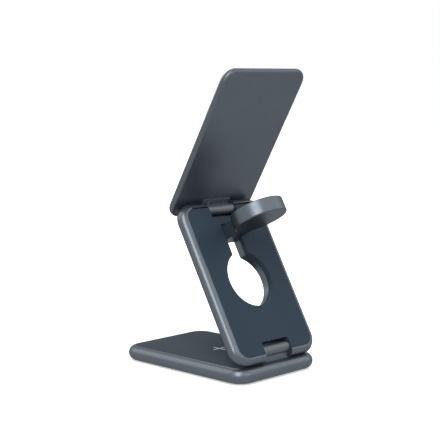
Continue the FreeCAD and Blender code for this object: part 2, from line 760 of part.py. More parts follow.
def make_mid_cover():
    body = start_body("mid_near_cover", mid_frame_of_reference)
    plate = start_sketch(body, near_face)
    inset_rectangle(plate, mid_half + seam, half_width, mid_low, mid_high, mid_corner)
    slab = pad(body, plate, plate_thick)
    round_edges(body, slab, cover_bevel, flat_at(near_face), bevel=True)
    lip = start_sketch(body, near_face)
    draw_keyhole(lip, hole_lip)
    pad(body, lip, lip_depth)
    slot_lip = start_sketch(body, near_face)
    draw_slot(slot_lip, hole_lip)
    pad(body, slot_lip, lip_depth)
    cut_keyhole(body, cover_ease)
    notches = start_sketch(body, near_face)
    draw_rectangle(notches, -half_notch, half_notch, mid_low - overcut, mid_low + lower_notch)
    draw_rectangle(notches, -half_notch, half_notch, mid_high - upper_notch, mid_high + overcut)
    pocket(body, notches, plate_thick, reverse=True)


def make_pins():
    for label, along, depth, radius, reach in pins:
        body = start_body(label, mid_frame_of_reference)
        outline = start_sketch(body, 0, "YZ_Plane")
        draw_circle(outline, along, depth, radius)
        pad(body, outline, reach * 2, symmetric=True)


def make_clips(label, along, way):
    # a pair of spring clips that grip the hinge pin, open towards the panel's end
    hold = (hinge_pin + running).value
    opening_place = clip_opening.value if way > 0 else -clip_opening.value - clip_radius.value
    clips = []
    for side in (-1, 1):
        start = side * (half_notch + cheek + gap).value
        point, axis = Vector(start, along.value, 0), Vector(side, 0, 0)
        clip = Part.makeCylinder(clip_radius.value, clip_length.value, point, axis)
        clip = clip.cut(Part.makeCylinder(hold, clip_length.value, point, axis))
        opening = Part.makeBox(clip_length.value, clip_radius.value, 2 * clip_radius.value)
        opening.translate(Vector(min(start, start + side * clip_length.value), along.value + opening_place,
                                 -clip_radius.value))
        clips.append(clip.cut(opening))
    own_shape(label, Part.makeCompound(clips), mid_frame_of_reference)


def make_flat_cable():
    # runs beside the keyhole between the two hinges, on the tray's floor
    cable = document.addObject("Part::Box", "mid_flat_cable")
    cable.Label = "mid_flat_cable"
    cable_length = hinge_span - 2 * cable_end
    for name, value in (("Length", cable_width), ("Width", cable_length), ("Height", cable_thick)):
        cable.setExpression(name, value.text)
    y, z, turn = mid_frame_of_reference
    along, depth = cable_end, mid_floor - cable_thick
    cable.Placement = Placement(Vector(0, 0, 0), Rotation(Vector(1, 0, 0), turn.value))
    middle = (hole_radius + hole_lip + half_width - mid_half - ledge) / 2
    cable.setExpression("Placement.Base.x", (middle - cable_width / 2).text)
    cable.setExpression("Placement.Base.y", (y - along * sine(lean) - depth * cosine(lean)).text)
    cable.setExpression("Placement.Base.z", (z + along * cosine(lean) - depth * sine(lean)).text)
    cable.setExpression("Placement.Rotation.Angle", turn.text)
    sub_parts.append(cable)


# Watch disc and arm: one housing, open on its charging side
watch_floor = disc_high - watch_cap_thick - watch_coil_thick - watch_ferrite_thick - flat_band


def make_watch_housing():
    body = start_body("watch_housing", watch_frame_of_reference)
    arm = start_sketch(body, disc_low)
    draw_rectangle(arm, -half_arm, half_arm, -arm_tail, disc_reach)
    pad(body, arm, disc_thick)
    round_part = start_sketch(body, disc_low)
    draw_circle(round_part, 0, disc_reach, disc_radius)
    whole = pad(body, round_part, disc_thick)
    corner = round_edges(body, whole, disc_junction, at_upright(half_arm, disc_reach, disc_radius, -1))
    round_edges(body, corner, disc_edge, lambda item: flat_at(disc_low)(item) or flat_at(disc_high)(item))
    inside = start_sketch(body, disc_high)
    draw_circle(inside, 0, disc_reach, watch_pocket)
    pocket(body, inside, disc_high - watch_floor)
    bore = start_sketch(body, 0, "YZ_Plane")
    draw_circle(bore, 0, 0, axle_radius + running)
    pocket(body, bore, slot_width, symmetric=True)


def make_watch_inside():
    # the cap is slightly dished, as the back of a watch is domed
    cap = start_body("watch_charge_cap", watch_frame_of_reference)
    radius = watch_pocket - seam
    outline = start_sketch(cap, disc_high - watch_cap_thick)
    draw_circle(outline, 0, disc_reach, radius)
    pad(cap, outline, watch_cap_thick)
    dish_radius = (radius.value ** 2 + watch_cap_dish.value ** 2) / (2 * watch_cap_dish.value)
    dish = cap.newObject("PartDesign::SubtractiveSphere", "watch_charge_cap_dish")
    dish.Radius = dish_radius
    dish.AttachmentOffset = Placement()
    dish.Placement = Placement(Vector(0, disc_reach.value, disc_high.value + dish_radius - watch_cap_dish.value),
                               Rotation())
    ferrite_low = watch_floor
    disc("watch_ferrite", watch_frame_of_reference, watch_ferrite_radius, ferrite_low, watch_ferrite_thick,
         watch_magnet_radius + gap, disc_reach)
    coil_low = ferrite_low + watch_ferrite_thick
    disc("watch_coil", watch_frame_of_reference, watch_coil_outer, coil_low, watch_coil_thick,
         watch_coil_inner, disc_reach)
    disc("watch_magnet", watch_frame_of_reference, watch_magnet_radius, watch_floor,
         watch_ferrite_thick + watch_coil_thick, None, disc_reach)


# Phone panel, in two shells that meet in the middle of its rim
phone_screws = [(side * phone_screw_x, phone_screw_y) for side in (-1, 1)]


def make_phone_bracket():
    body = start_body("phone_hinge_bracket", phone_frame_of_reference)
    barrel = start_sketch(body, 0, "YZ_Plane")
    draw_circle(barrel, 0, 0, upper_barrel)
    pad(body, barrel, half_knuckle * 2, symmetric=True)
    web = start_sketch(body, 0, "YZ_Plane")
    draw_rectangle(web, -web_thick / 2, web_thick / 2, as_size(0), phone_back - leaf_thick / 2)
    pad(body, web, half_knuckle * 2, symmetric=True)
    leaf = start_sketch(body, 0, "YZ_Plane")
    draw_rectangle(leaf, -leaf_drop, leaf_rise, phone_back - leaf_thick, phone_back)
    pad(body, leaf, half_knuckle * 2, symmetric=True)
    bore = start_sketch(body, 0, "YZ_Plane")
    draw_circle(bore, 0, 0, hinge_pin + running)
    pocket(body, bore, notch_width, symmetric=True)
    pilots = start_sketch(body, phone_back)
    for x, y in phone_screws:
        draw_circle(pilots, x, y, screw_shank + pilot_gap)
    pocket(body, pilots, leaf_thick)


def phone_shell(label, low, edge_at, seam_at):
    body = start_body(label, phone_frame_of_reference)
    outline = start_sketch(body, low)
    draw_rectangle(outline, -half_phone, half_phone, phone_low, phone_high, phone_corner)
    slab = pad(body, outline, phone_thick / 2)
    rim = round_edges(body, slab, phone_thick / 2 - flat_band / 2 - parting, flat_at(edge_at))
    round_edges(body, rim, parting, flat_at(seam_at), bevel=True)
    return body


def make_phone_shells():
    back = phone_shell("phone_back_housing", phone_back, phone_back, phone_seam)
    cavity = start_sketch(back, phone_seam)
    inset_rectangle(cavity, phone_rim, half_phone, phone_low, phone_high, phone_corner)
    pocket(back, cavity, phone_thick / 2 - phone_wall)
    holes = start_sketch(back, phone_seam)
    for x, y in phone_screws:
        draw_circle(holes, x, y, screw_shank + screw_gap)
    pocket(back, holes, phone_thick / 2)
    front = phone_shell("phone_front_cover", phone_seam, phone_front, phone_seam)
    cavity = start_sketch(front, phone_seam)
    inset_rectangle(cavity, phone_rim, half_phone, phone_low, phone_high, phone_corner)
    pocket(front, cavity, phone_thick / 2 - phone_wall, reverse=True)
    recess = start_sketch(front, phone_front)
    inset_rectangle(recess, pad_inset, half_phone, phone_low, phone_high, phone_corner)
    pocket(front, recess, pad_recess)


def make_phone_inside():
    soft = start_body("phone_soft_pad", phone_frame_of_reference)
    outline = start_sketch(soft, phone_front - pad_recess)
    inset_rectangle(outline, pad_inset + seam, half_phone, phone_low, phone_high, phone_corner)
    slab = pad(soft, outline, pad_thick)
    top = phone_front - pad_recess + pad_thick
    round_edges(soft, slab, pad_round, flat_at(top))

    ceiling = phone_front - phone_wall
    coil_low = ceiling - phone_coil_thick
    disc("phone_coil", phone_frame_of_reference, phone_coil_outer, coil_low, phone_coil_thick, phone_coil_inner,
         phone_middle)
    disc("phone_ferrite", phone_frame_of_reference, phone_ferrite_radius, coil_low - phone_ferrite_thick,
         phone_ferrite_thick, None, phone_middle)

    centre = Vector(0, phone_middle.value, (ceiling - magnet_thick).value)
    span = 360 / magnet_count.value * magnet_fill.value
    magnets = []
    for number in range(int(magnet_count.value)):
        outer = Part.makeCylinder(magnet_outer.value, magnet_thick.value, centre, Vector(0, 0, 1), span)
        inner = Part.makeCylinder(magnet_inner.value, magnet_thick.value, centre, Vector(0, 0, 1), span)
        magnet = outer.cut(inner)
        magnet.rotate(centre, Vector(0, 0, 1), number * 360 / magnet_count.value)
        magnets.append(magnet)
    own_shape("phone_magnets", Part.makeCompound(magnets), phone_frame_of_reference)

    board = start_body("phone_circuit_board", phone_frame_of_reference)
    outline = start_sketch(board, phone_back + phone_wall)
    low = phone_low + phone_board_low
    left, right = phone_screw_x + phone_board_place, phone_cavity - phone_board_side
    draw_rectangle(outline, left, right, low, low + phone_board_width, board_corner)
    pad(board, outline, phone_board_thick)
    chips = start_sketch(board, phone_back + phone_wall + phone_board_thick)
    chip_low = low + phone_chip_margin
    for chip_left in (left + phone_chip_margin, right - phone_chip_margin - phone_chip):
        draw_rectangle(chips, chip_left, chip_left + phone_chip, chip_low, chip_low + phone_chip)
    pad(board, chips, phone_chip_thick)


def make_screws():
    head_face = (foot_rise + foot_recess + counterbore).value
    base_cover = [screw(x.value, y.value, head_face, (cover_underside - screw_gap).value)
                  for x, y in corners(cover_screw_x, cover_screw_y)]
    own_shape("base_cover_screws", Part.makeCompound(base_cover), base_frame_of_reference)
    board_top = (board_low + board_thick).value
    board = [screw(x.value, y.value, board_top, (floor_top - pilot_depth + screw_gap).value)
             for x, y in corners(board_screw_x, board_screw_y, board_y)]
    own_shape("base_board_screws", Part.makeCompound(board), base_frame_of_reference)
    bearing = (bracket_low + bracket_thick - counterbore).value
    bracket = [screw(x.value, y.value, bearing, (floor_top + gap).value) for x, y in bracket_screws]
    own_shape("base_bracket_screws", Part.makeCompound(bracket), base_frame_of_reference)
    inner_face = (phone_back + phone_wall).value
    phone = [screw(x.value, y.value, inner_face, (phone_back - leaf_thick + pilot_gap).value)
             for x, y in phone_screws]
    own_shape("phone_bracket_screws", Part.makeCompound(phone), phone_frame_of_reference)


make_base_frame()
make_base_cover()
make_base_inside()
make_socket()
make_base_bracket()
make_mid_frame()
make_mid_cover()
make_pins()
make_clips("lower_hinge_clips", as_size(0), -1)
make_clips("upper_hinge_clips", hinge_span, 1)
make_flat_cable()
make_watch_housing()
make_watch_inside()
make_phone_bracket()
make_phone_shells()
make_phone_inside()
make_screws()
document.recompute()

for item in document.Objects:
    if "Invalid" in item.State or "Error" in item.State:
        raise RuntimeError(f"{item.Label} failed: {item.State}")
for part in sub_parts:
    if part.Shape.isNull() or not part.Shape.isValid():
        raise RuntimeError(f"{part.Label} has no valid shape")

os.makedirs("parts", exist_ok=True)
for part in sub_parts:
    part.Shape.exportStep(f"parts/{part.Label}.step")
    print(part.Label, len(part.Shape.Solids), "solids", round(part.Shape.Volume, 1), "mm3")
print("axes: lower", round(lower_y.value, 3), round(lower_z.value, 3), "upper", round(upper_y.value, 3),
      round(upper_z.value, 3), "axle", round(axle_y.value, 3), round(axle_z.value, 3))
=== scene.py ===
import math

import bmesh
import bpy
import numpy
from mathutils import Matrix, Vector


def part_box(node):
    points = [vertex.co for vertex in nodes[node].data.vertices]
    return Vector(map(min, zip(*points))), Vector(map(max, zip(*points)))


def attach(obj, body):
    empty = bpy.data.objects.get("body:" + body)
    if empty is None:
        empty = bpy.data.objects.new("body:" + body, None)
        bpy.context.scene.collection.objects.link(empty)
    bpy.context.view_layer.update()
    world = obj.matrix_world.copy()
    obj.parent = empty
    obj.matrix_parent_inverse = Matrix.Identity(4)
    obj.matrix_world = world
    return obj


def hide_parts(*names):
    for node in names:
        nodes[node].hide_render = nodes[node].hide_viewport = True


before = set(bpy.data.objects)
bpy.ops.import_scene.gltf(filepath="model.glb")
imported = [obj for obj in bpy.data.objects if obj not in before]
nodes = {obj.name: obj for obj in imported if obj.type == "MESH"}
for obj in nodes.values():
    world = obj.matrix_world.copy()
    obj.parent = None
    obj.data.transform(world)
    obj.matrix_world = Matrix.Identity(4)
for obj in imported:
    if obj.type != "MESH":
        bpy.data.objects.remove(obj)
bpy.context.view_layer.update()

scene = bpy.context.scene
print("frame loaded:", len(nodes), "nodes")


# camera, fitted to the photograph's outline
cameraSettings = {
    "azimuth": 134.27,       # degrees round from the front
    "elevation": 6.77,
    "distance": 0.61977,     # from the lower rear edge of the base
    "sideways": -0.03205,    # of the camera, across its own view
    "upwards": 0.08129,
    "focalPixels": 1197.8,
    "imagePixels": 440,
    "sensorWidth": 36,       # in millimetres, as the lens is
    "clipStart": 0.01,
}


def outwards(azimuth, elevation):
    # a direction from degrees round from the front, towards +X, and degrees above the floor
    turn, rise = math.radians(azimuth), math.radians(elevation)
    return Vector((math.sin(turn) * math.cos(rise), -math.cos(turn) * math.cos(rise), math.sin(rise)))


def makeCamera(settings):
    back = outwards(settings["azimuth"], settings["elevation"])
    right = outwards(settings["azimuth"] + 90, 0)
    up = back.cross(right)
    low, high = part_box("base_frame")
    place = Vector((0, high.y, low.z)) + back * settings["distance"]
    place += right * settings["sideways"] + up * settings["upwards"]
    data = bpy.data.cameras.new("photoCamera")
    data.sensor_width = settings["sensorWidth"]
    data.lens = settings["sensorWidth"] * settings["focalPixels"] / settings["imagePixels"]
    data.clip_start = settings["clipStart"]
    camera = bpy.data.objects.new("photoCamera", data)
    turn = Matrix((right, up, back)).transposed().to_4x4()
    camera.matrix_world = Matrix.Translation(place) @ turn
    scene.collection.objects.link(camera)
    scene.camera = camera


makeCamera(cameraSettings)
print("camera set")


# floor, backdrop and lamps
stageSettings = {
    "floorSize": 6,
    "floorColour": (0.93, 0.93, 0.93, 1),
    "floorGlow": 0.45,       # white on top of the paper, for the camera
    "glowRadii": (0.1, 0.4),  # between these the glow grows to plain white
    "worldLight": 0.35,
    "lampTarget": (0, 0.01, 0.07),
    "lampDistance": 1.2,
    "lamps": [  # name, degrees round from the front, elevation, width, height, watts
        ("rearSoftbox", 120, 41, 0.6, 1.3, 15),
        ("backSoftbox", 184, 28, 0.7, 0.5, 2.6),
        ("leftSoftbox", 240, 36, 0.8, 1.2, 3.1),
        ("frontLeftSoftbox", 310, 34, 0.5, 0.4, 1.8),
        ("frontSoftbox", 28, 37, 0.9, 1.15, 5),
    ],
}


def maths(tree, operation, *values):
    node = tree.nodes.new("ShaderNodeMath")
    node.operation = operation
    for index, value in enumerate(values):
        if isinstance(value, (int, float)):
            node.inputs[index].default_value = value
        else:
            tree.links.new(value, node.inputs[index])
    return node.outputs[0]


def spread(tree, value, low, high, fromLow=0.3, fromHigh=0.7):
    # stretches a value to a new range; most of a noise lies between 0.3 and 0.7
    node = tree.nodes.new("ShaderNodeMapRange")
    node.inputs["From Min"].default_value = fromLow
    node.inputs["From Max"].default_value = fromHigh
    node.inputs["To Min"].default_value = low
    node.inputs["To Max"].default_value = high
    tree.links.new(value, node.inputs["Value"])
    return node.outputs["Result"]


def mixShaders(tree, share, first, second):
    node = tree.nodes.new("ShaderNodeMixShader")
    for index, value in enumerate((share, first, second)):
        tree.links.new(value, node.inputs[index])
    return node.outputs[0]


def whiteOutside(tree, shaderOut, kind, glow=None):
    # the given light for diffuse rays, plain white for the camera and for reflections;
    # with a glow the camera sees the given surface and that much white on top, so that its shadow stays
    path = tree.nodes.new("ShaderNodeLightPath")
    outside = maths(tree, "MAXIMUM", path.outputs["Is Camera Ray"], path.outputs["Is Glossy Ray"])
    outside = maths(tree, "MAXIMUM", outside, path.outputs["Is Transmission Ray"])
    white = tree.nodes.new(kind)
    white.inputs["Color"].default_value = (1, 1, 1, 1)
    white.inputs["Strength"].default_value = 1
    mix = mixShaders(tree, outside, shaderOut, white.outputs[0])
    if glow:
        shine = tree.nodes.new(kind)
        tree.links.new(glow, shine.inputs["Strength"])
        both = tree.nodes.new("ShaderNodeAddShader")
        tree.links.new(shine.outputs[0], both.inputs[0])
        tree.links.new(shaderOut, both.inputs[1])
        mix = mixShaders(tree, path.outputs["Is Camera Ray"], mix, both.outputs[0])
    return mix


def makeWorld(settings):
    world = bpy.data.worlds.new("studio")
    scene.world = world
    world.use_nodes = True
    tree = world.node_tree
    tree.nodes.clear()
    light = tree.nodes.new("ShaderNodeBackground")
    light.inputs["Color"].default_value = (1, 1, 1, 1)
    light.inputs["Strength"].default_value = settings["worldLight"]
    out = tree.nodes.new("ShaderNodeOutputWorld")
    tree.links.new(whiteOutside(tree, light.outputs[0], "ShaderNodeBackground"), out.inputs[0])


def makeFloor(settings):
    half = settings["floorSize"] / 2
    corners = [(-half, -half, 0), (half, -half, 0), (half, half, 0), (-half, half, 0)]
    mesh = bpy.data.meshes.new("floor")
    mesh.from_pydata(corners, [], [(0, 1, 2, 3)])
    floor = bpy.data.objects.new("floor", mesh)
    scene.collection.objects.link(floor)
    paper = bpy.data.materials.new("floorPaper")
    paper.use_nodes = True
    tree = paper.node_tree
    tree.nodes.clear()
    diffuse = tree.nodes.new("ShaderNodeBsdfDiffuse")
    diffuse.inputs["Color"].default_value = settings["floorColour"]
    place = tree.nodes.new("ShaderNodeTexCoord")
    away = tree.nodes.new("ShaderNodeVectorMath")
    away.operation = "LENGTH"
    tree.links.new(place.outputs["Object"], away.inputs[0])
    glow = spread(tree, away.outputs["Value"], settings["floorGlow"], 1, *settings["glowRadii"])
    out = tree.nodes.new("ShaderNodeOutputMaterial")
    tree.links.new(whiteOutside(tree, diffuse.outputs[0], "ShaderNodeEmission", glow), out.inputs[0])
    mesh.materials.append(paper)


def makeLamps(settings):
    for name, azimuth, elevation, width, height, watts in settings["lamps"]:
        data = bpy.data.lights.new(name, "AREA")
        data.shape = "RECTANGLE"
        data.size, data.size_y = width, height
        data.energy = watts
        lamp = bpy.data.objects.new(name, data)
        away = outwards(azimuth, elevation)
        lamp.location = Vector(settings["lampTarget"]) + away * settings["lampDistance"]
        lamp.rotation_euler = away.to_track_quat("Z", "Y").to_euler()
        scene.collection.objects.link(lamp)


makeWorld(stageSettings)
makeFloor(stageSettings)
makeLamps(stageSettings)
scene.view_settings.view_transform = "Standard"
print("stage and lamps set")


# finishes
def startMaterial(name):
    material = bpy.data.materials.new(name)
    material.use_nodes = True
    tree = material.node_tree
    tree.nodes.clear()
    shader = tree.nodes.new("ShaderNodeBsdfPrincipled")
    out = tree.nodes.new("ShaderNodeOutputMaterial")
    tree.links.new(shader.outputs[0], out.inputs[0])
    place = tree.nodes.new("ShaderNodeTexCoord")
    return material, tree, shader, place.outputs["Object"]


def noise(tree, place, scale, detail=3):
    node = tree.nodes.new("ShaderNodeTexNoise")
    node.inputs["Scale"].default_value = scale
    node.inputs["Detail"].default_value = detail
    tree.links.new(place, node.inputs["Vector"])
    return node.outputs["Fac"]


def twoColours(tree, value, first, second):
    node = tree.nodes.new("ShaderNodeMix")
    node.data_type = "RGBA"
    node.inputs["A"].default_value = (*first, 1)
    node.inputs["B"].default_value = (*second, 1)
    tree.links.new(value, node.inputs["Factor"])
    return node.outputs["Result"]


def bump(tree, shader, value, strength, distance):
    node = tree.nodes.new("ShaderNodeBump")
    node.inputs["Strength"].default_value = strength
    node.inputs["Distance"].default_value = distance
    tree.links.new(value, node.inputs["Height"])
    tree.links.new(node.outputs["Normal"], shader.inputs["Normal"])


def speckledFinish(settings):
    # a painted, moulded or blasted surface: fine grain, soft patches and an uneven gloss
    material, tree, shader, place = startMaterial(settings["name"])
    patches = spread(tree, noise(tree, place, settings["patchScale"]), 0, 1)
    grain = noise(tree, place, settings["grainScale"], detail=2)
    colour = twoColours(tree, patches, settings["colour"], settings["patchColour"])
    tree.links.new(colour, shader.inputs["Base Color"])
    low, high = settings["roughness"]
    tree.links.new(spread(tree, grain, low, high), shader.inputs["Roughness"])
    bump(tree, shader, grain, settings["grainStrength"], settings["grainDepth"])
    shader.inputs["Metallic"].default_value = settings["metallic"]
    shader.inputs["Specular IOR Level"].default_value = settings["specular"]
    tint = settings["edgeTint"]
    shader.inputs["Specular Tint"].default_value = (tint, tint, tint, 1)
    return material


def brushedFinish(settings):
    # turned or drawn metal with fine lines across X
    material, tree, shader, place = startMaterial(settings["name"])
    stretch = tree.nodes.new("ShaderNodeMapping")
    stretch.inputs["Scale"].default_value = settings["stretch"]
    tree.links.new(place, stretch.inputs["Vector"])
    lines = noise(tree, stretch.outputs["Vector"], settings["grainScale"], detail=2)
    colour = twoColours(tree, spread(tree, lines, 0, 1), settings["colour"], settings["patchColour"])
    tree.links.new(colour, shader.inputs["Base Color"])
    low, high = settings["roughness"]
    tree.links.new(spread(tree, lines, low, high), shader.inputs["Roughness"])
    bump(tree, shader, lines, settings["grainStrength"], settings["grainDepth"])
    shader.inputs["Metallic"].default_value = settings["metallic"]
    return material


def boardFinish(settings):
    # solder mask with faint tracks under it
    material, tree, shader, place = startMaterial(settings["name"])
    tracks = tree.nodes.new("ShaderNodeTexBrick")
    tracks.inputs["Color1"].default_value = (*settings["colour"], 1)
    tracks.inputs["Color2"].default_value = (*settings["patchColour"], 1)
    tracks.inputs["Mortar"].default_value = (*settings["trackColour"], 1)
    tracks.inputs["Scale"].default_value = settings["trackScale"]
    tracks.inputs["Mortar Size"].default_value = settings["trackWidth"]
    tree.links.new(place, tracks.inputs["Vector"])
    tree.links.new(tracks.outputs["Color"], shader.inputs["Base Color"])
    bump(tree, shader, tracks.outputs["Fac"], settings["trackStrength"], settings["trackDepth"])
    shader.inputs["Roughness"].default_value = settings["roughness"]
    return material


gunmetal = {
    "name": "gunmetalFinish", "metallic": 0.82, "specular": 0.5, "edgeTint": 0.45,
    "colour": (0.094, 0.110, 0.127), "patchColour": (0.099, 0.116, 0.134), "patchScale": 60,
    "roughness": (0.31, 0.38), "grainScale": 9000, "grainStrength": 0.12, "grainDepth": 0.00002,
}
backPaint = dict(
    gunmetal, name="phoneBackFinish", metallic=0.8, roughness=(0.36, 0.44),
    colour=(0.084, 0.099, 0.118), patchColour=(0.088, 0.104, 0.124),
)
coverSatin = dict(
    gunmetal, name="coverFinish", metallic=0, specular=0.06, edgeTint=1, roughness=(0.45, 0.55),
    colour=(0.0215, 0.0345, 0.0505), patchColour=(0.0228, 0.0367, 0.0536),
)
plateSatin = dict(
    coverSatin, name="plateFinish", specular=0,
    colour=(0.057, 0.069, 0.082), patchColour=(0.061, 0.074, 0.088),
)
padRubber = dict(
    gunmetal, name="padFinish", metallic=0, edgeTint=1, roughness=(0.62, 0.78), grainStrength=0.3,
    colour=(0.020, 0.022, 0.025), patchColour=(0.026, 0.028, 0.031),
)
ferriteDull = dict(
    gunmetal, name="ferriteFinish", metallic=0.2, edgeTint=1, roughness=(0.55, 0.7),
    colour=(0.03, 0.03, 0.032), patchColour=(0.05, 0.05, 0.05), patchScale=400,
)
socketBlack = dict(
    gunmetal, name="socketFinish", metallic=0, edgeTint=1, roughness=(0.35, 0.5),
    colour=(0.012, 0.012, 0.013), patchColour=(0.018, 0.018, 0.02),
)
cableFilm = dict(
    gunmetal, name="cableFinish", metallic=0, edgeTint=1, roughness=(0.25, 0.35),
    colour=(0.42, 0.17, 0.03), patchColour=(0.5, 0.22, 0.05), patchScale=300,
)
hingeSteel = {
    "name": "hingeFinish", "metallic": 0.82, "roughness": (0.42, 0.5), "stretch": (30, 1, 1),
    "colour": (0.092, 0.106, 0.122), "patchColour": (0.100, 0.116, 0.133),
    "grainScale": 300, "grainStrength": 0.15, "grainDepth": 0.00002,
}
# the hinge steel again, made lighter and less metallic for the upper bracket: painted light that lifts
# its leaf and barrel out of the shade they sit in
litUpperSteel = dict(
    hingeSteel, name="upperHingePaintedLightFinish", metallic=0.6,
    colour=(0.098, 0.112, 0.128), patchColour=(0.106, 0.122, 0.139),
)
brightSteel = dict(
    hingeSteel, name="steelFinish", metallic=1, roughness=(0.22, 0.32),
    colour=(0.55, 0.55, 0.56), patchColour=(0.66, 0.66, 0.67),
)
boardGreen = {
    "name": "boardFinish", "roughness": 0.35,
    "colour": (0.010, 0.075, 0.035), "patchColour": (0.012, 0.085, 0.040),
    "trackColour": (0.03, 0.16, 0.08), "trackScale": 220, "trackWidth": 0.03,
    "trackStrength": 0.3, "trackDepth": 0.00005,
}


def ringOf(name):
    # where a flat ring lies: the turn and place of its middle, its radii and its thickness
    mesh = nodes[name].data
    points = numpy.empty(len(mesh.vertices) * 3)
    mesh.vertices.foreach_get("co", points)
    points = points.reshape(-1, 3)
    middle = points.mean(0)
    axis = numpy.linalg.svd(points - middle, full_matrices=False)[2][2]
    height = (points - middle) @ axis
    middle = middle + axis * (height.max() + height.min()) / 2
    flat = (points - middle) - numpy.outer((points - middle) @ axis, axis)
    radii = numpy.linalg.norm(flat, axis=1)
    turn = Vector(axis).to_track_quat("Z", "X").to_matrix().to_4x4()
    place = Matrix.Translation(Vector(middle)) @ turn
    return place, float(radii.min()), float(radii.max()), float(height.max() - height.min())


def dress(material, *names):
    for name in names:
        mesh = nodes[name].data
        mesh.materials.clear()
        mesh.materials.append(material)


dress(speckledFinish(gunmetal), "base_frame", "mid_frame", "watch_housing", "phone_front_cover")
dress(speckledFinish(backPaint), "phone_back_housing")
dress(speckledFinish(coverSatin), "mid_near_cover")
dress(speckledFinish(plateSatin), "base_top_plate", "watch_charge_cap")
dress(speckledFinish(padRubber), "base_foot_pad", "phone_soft_pad")
dress(speckledFinish(ferriteDull), "base_ferrite", "watch_ferrite", "phone_ferrite")
dress(speckledFinish(socketBlack), "usb_socket_tongue")
dress(speckledFinish(cableFilm), "mid_flat_cable")
dress(brushedFinish(hingeSteel), "base_hinge_bracket")
dress(brushedFinish(litUpperSteel), "phone_hinge_bracket")
dress(brushedFinish(brightSteel), "usb_socket_shell", "lower_hinge_pin", "upper_hinge_pin", "watch_axle",
      "lower_hinge_clips", "upper_hinge_clips", "watch_magnet", "phone_magnets", "base_cover_screws",
      "base_board_screws", "base_bracket_screws", "phone_bracket_screws")
dress(boardFinish(boardGreen), "base_circuit_board", "phone_circuit_board")
print("finishes given to the frame's nodes")


def ownLook(settings, *keys):
    # the part of a piece's settings that goes into its finish
    return {key: settings[key] for key in keys}


# the pale plus printed on the base where earbuds lie
plusSettings = {
    "name": "chargeMark", "centre": (0, 0), "reach": 0.00455, "halfStroke": 0.0005, "thickness": 0.00004,
    "tipSteps": 6,           # of each stroke's round end
    "colour": (0.33, 0.37, 0.41), "patchColour": (0.36, 0.40, 0.44), "roughness": (0.4, 0.5),
}


def makePlus(settings):
    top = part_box("base_top_plate")[1].z
    reach, half = settings["reach"], settings["halfStroke"]
    outline = []             # of four strokes with round ends, one after the other
    for turn in range(4):
        angle = math.pi / 2 * turn
        along = Vector((math.cos(angle), math.sin(angle)))
        across = Vector((-math.sin(angle), math.cos(angle)))
        outline.append(along * half - across * half)
        for step in range(settings["tipSteps"] + 1):
            swing = math.pi / settings["tipSteps"] * step - math.pi / 2
            tip = along * (reach - half + half * math.cos(swing))
            outline.append(tip + across * half * math.sin(swing))
    form = bmesh.new()
    bottom = [form.verts.new((*(Vector(settings["centre"]) + point), top)) for point in outline]
    face = form.faces.new(bottom)
    raised = bmesh.ops.extrude_face_region(form, geom=[face])
    for item in raised["geom"]:
        if isinstance(item, bmesh.types.BMVert):
            item.co.z += settings["thickness"]
    bmesh.ops.recalc_face_normals(form, faces=form.faces)
    mesh = bpy.data.meshes.new(settings["name"])
    form.to_mesh(mesh)
    form.free()
    piece = bpy.data.objects.new(settings["name"], mesh)
    scene.collection.objects.link(piece)
    ink = dict(coverSatin, name="inkFinish", **ownLook(settings, "colour", "patchColour", "roughness"))
    mesh.materials.append(speckledFinish(ink))
    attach(piece, "base")


makePlus(plusSettings)
print("plus mark made")


# trees for what repeats or follows a path
def startTree(treeName, sizes):
    # a tree with the named inputs, whose values grow gives
    tree = bpy.data.node_groups.new(treeName, "GeometryNodeTree")
    for name, kind in sizes.items():
        tree.interface.new_socket(name, in_out="INPUT", socket_type="NodeSocket" + kind)
    tree.interface.new_socket("Geometry", in_out="OUTPUT", socket_type="NodeSocketGeometry")
    source = tree.nodes.new("NodeGroupInput")
    return tree, source


def join(tree, out, node, name):
    tree.links.new(out, node.inputs[name])


def vector(tree, **parts):
    node = tree.nodes.new("ShaderNodeCombineXYZ")
    for name, value in parts.items():
        join(tree, value, node, name)
    return node.outputs[0]


def endTree(tree, source, shape):
    # the last two nodes of every tree
    realize = tree.nodes.new("GeometryNodeRealizeInstances")
    finish = tree.nodes.new("GeometryNodeSetMaterial")
    out = tree.nodes.new("NodeGroupOutput")
    join(tree, shape, realize, "Geometry")
    join(tree, realize.outputs[0], finish, "Geometry")
    join(tree, source.outputs["Material"], finish, "Material")
    join(tree, finish.outputs[0], out, "Geometry")


def grow(name, tree, values, place):
    # runs the tree with the given values and keeps a plain mesh, laid at its place
    holder = bpy.data.objects.new(name + "Holder", bpy.data.meshes.new(name + "Holder"))
    scene.collection.objects.link(holder)
    modifier = holder.modifiers.new("tree", "NODES")
    modifier.node_group = tree
    for item in tree.interface.items_tree:
        if item.in_out == "INPUT" and item.name in values:
            modifier[item.identifier] = values[item.name]
    graph = bpy.context.evaluated_depsgraph_get()
    mesh = bpy.data.meshes.new_from_object(holder.evaluated_get(graph), depsgraph=graph)
    holder.modifiers.clear()
    bpy.data.objects.remove(holder)
    mesh.name = name
    mesh.transform(place)
    piece = bpy.data.objects.new(name, mesh)
    scene.collection.objects.link(piece)
    return piece


def shinyMetal(name, settings):
    # a piece's own colours and gloss, with the grain of the frame's metal
    own = ownLook(settings, "colour", "patchColour", "patchScale", "roughness")
    return speckledFinish(dict(gunmetal, name=name, metallic=1, edgeTint=1, **own))


